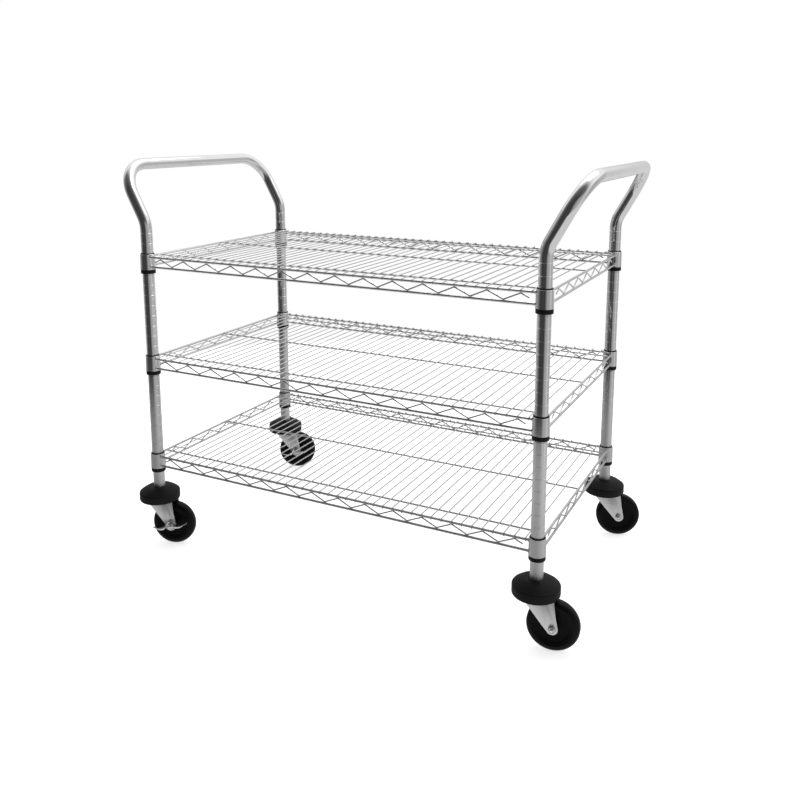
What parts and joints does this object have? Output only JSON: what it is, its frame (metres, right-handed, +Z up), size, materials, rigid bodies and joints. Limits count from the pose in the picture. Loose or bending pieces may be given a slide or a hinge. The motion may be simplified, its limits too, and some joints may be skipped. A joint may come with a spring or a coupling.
{
  "type": "wire shelf cart",
  "caption": "Wire shelf cart with chrome wire shelves on grooved posts, a leaning push handle at each end, donut bumpers and swivel casters with side brakes at one end.",
  "frame": {"origin": "on the floor under the middle of the cart", "axes": "+X along the length towards the right end, +Y across the cart from front to back, +Z up"},
  "size_m": [1.1806, 0.66, 0.9735],
  "materials": {
    "chrome_tube": "bright chrome plate on drawn steel tube",
    "chrome_collar": "bright chrome plate, a little softer than the tubes",
    "chrome_wire": "chrome plate on drawn wire",
    "zinc_plate": "satin zinc plate on pressed steel",
    "insert_steel": "turned steel",
    "bolt_steel": "bright nickel plate",
    "black_plastic": "matte moulded plastic",
    "black_rubber": "matte moulded rubber",
    "wheel_plastic": "moulded plastic",
    "tyre_rubber": "smooth hard rubber"
  },
  "bodies": {
    "frame": {"left_end_frame": "chrome_tube", "right_end_frame": "chrome_tube", "post_inserts": "insert_steel", "upper_races": "zinc_plate", "bottom_shelf_corner_collars": "chrome_collar", "bottom_shelf_split_sleeves": "black_plastic", "bottom_shelf_rim_wires": "chrome_wire", "bottom_shelf_truss_wires": "chrome_wire", "bottom_shelf_deck_wires": "chrome_wire", "bottom_shelf_ribs": "chrome_wire", "middle_shelf_corner_collars": "chrome_collar", "middle_shelf_split_sleeves": "black_plastic", "middle_shelf_rim_wires": "chrome_wire", "middle_shelf_truss_wires": "chrome_wire", "middle_shelf_deck_wires": "chrome_wire", "middle_shelf_ribs": "chrome_wire", "top_shelf_corner_collars": "chrome_collar", "top_shelf_split_sleeves": "black_plastic", "top_shelf_rim_wires": "chrome_wire", "top_shelf_truss_wires": "chrome_wire", "top_shelf_deck_wires": "chrome_wire", "top_shelf_ribs": "chrome_wire", "front_left_bumper": "black_rubber", "front_left_stem": "insert_steel", "back_left_bumper": "black_rubber", "back_left_stem": "insert_steel", "front_right_bumper": "black_rubber", "front_right_stem": "insert_steel", "back_right_bumper": "black_rubber", "back_right_stem": "insert_steel"},
    "front_left_caster": {"front_left_fork": "zinc_plate", "front_left_bearing_balls": "insert_steel", "front_left_axle_sleeve": "insert_steel", "front_left_axle_bolt": "bolt_steel", "front_left_brake_cam": "zinc_plate"},
    "front_left_wheel": {"front_left_wheel_hub": "wheel_plastic", "front_left_tyre": "tyre_rubber"},
    "front_left_brake": {"front_left_brake_lever": "bolt_steel"},
    "back_left_caster": {"back_left_fork": "zinc_plate", "back_left_bearing_balls": "insert_steel", "back_left_axle_sleeve": "insert_steel", "back_left_axle_bolt": "bolt_steel", "back_left_brake_cam": "zinc_plate"},
    "back_left_wheel": {"back_left_wheel_hub": "wheel_plastic", "back_left_tyre": "tyre_rubber"},
    "back_left_brake": {"back_left_brake_lever": "bolt_steel"},
    "front_right_caster": {"front_right_fork": "zinc_plate", "front_right_bearing_balls": "insert_steel", "front_right_axle_sleeve": "insert_steel", "front_right_axle_bolt": "bolt_steel"},
    "front_right_wheel": {"front_right_wheel_hub": "wheel_plastic", "front_right_tyre": "tyre_rubber"},
    "back_right_caster": {"back_right_fork": "zinc_plate", "back_right_bearing_balls": "insert_steel", "back_right_axle_sleeve": "insert_steel", "back_right_axle_bolt": "bolt_steel"},
    "back_right_wheel": {"back_right_wheel_hub": "wheel_plastic", "back_right_tyre": "tyre_rubber"}
  },
  "joints": [
    {"name": "front_left_swivel", "type": "hinge", "parent": "frame", "child": "front_left_caster", "pos_m": [-0.5, -0.28, 0.125], "axis": [0, 0, 1], "continuous": true},
    {"name": "front_left_roll", "type": "hinge", "parent": "front_left_caster", "child": "front_left_wheel", "pos_m": [-0.46481, -0.26857, 0.055], "axis": [-0.309, 0.9511, 0], "continuous": true},
    {"name": "front_left_brake", "type": "hinge", "parent": "front_left_caster", "child": "front_left_brake", "pos_m": [-0.45684, -0.2931, 0.055], "axis": [-0.309, 0.9511, 0], "range_deg": [0, 22]},
    {"name": "back_left_swivel", "type": "hinge", "parent": "frame", "child": "back_left_caster", "pos_m": [-0.5, 0.28, 0.125], "axis": [0, 0, 1], "continuous": true},
    {"name": "back_left_roll", "type": "hinge", "parent": "back_left_caster", "child": "back_left_wheel", "pos_m": [-0.46647, 0.29564, 0.055], "axis": [-0.4226, 0.9063, 0], "continuous": true},
    {"name": "back_left_brake", "type": "hinge", "parent": "back_left_caster", "child": "back_left_brake", "pos_m": [-0.45556, 0.27225, 0.055], "axis": [-0.4226, 0.9063, 0], "range_deg": [0, 22]},
    {"name": "front_right_swivel", "type": "hinge", "parent": "frame", "child": "front_right_caster", "pos_m": [0.5, -0.28, 0.125], "axis": [0, 0, 1], "continuous": true},
    {"name": "front_right_roll", "type": "hinge", "parent": "front_right_caster", "child": "front_right_wheel", "pos_m": [0.53654, -0.27421, 0.055], "axis": [-0.1564, 0.9877, 0], "continuous": true},
    {"name": "back_right_swivel", "type": "hinge", "parent": "frame", "child": "back_right_caster", "pos_m": [0.5, 0.28, 0.125], "axis": [0, 0, 1], "continuous": true},
    {"name": "back_right_roll", "type": "hinge", "parent": "back_right_caster", "child": "back_right_wheel", "pos_m": [0.53454, 0.29326, 0.055], "axis": [-0.3584, 0.9336, 0], "continuous": true}
  ]
}
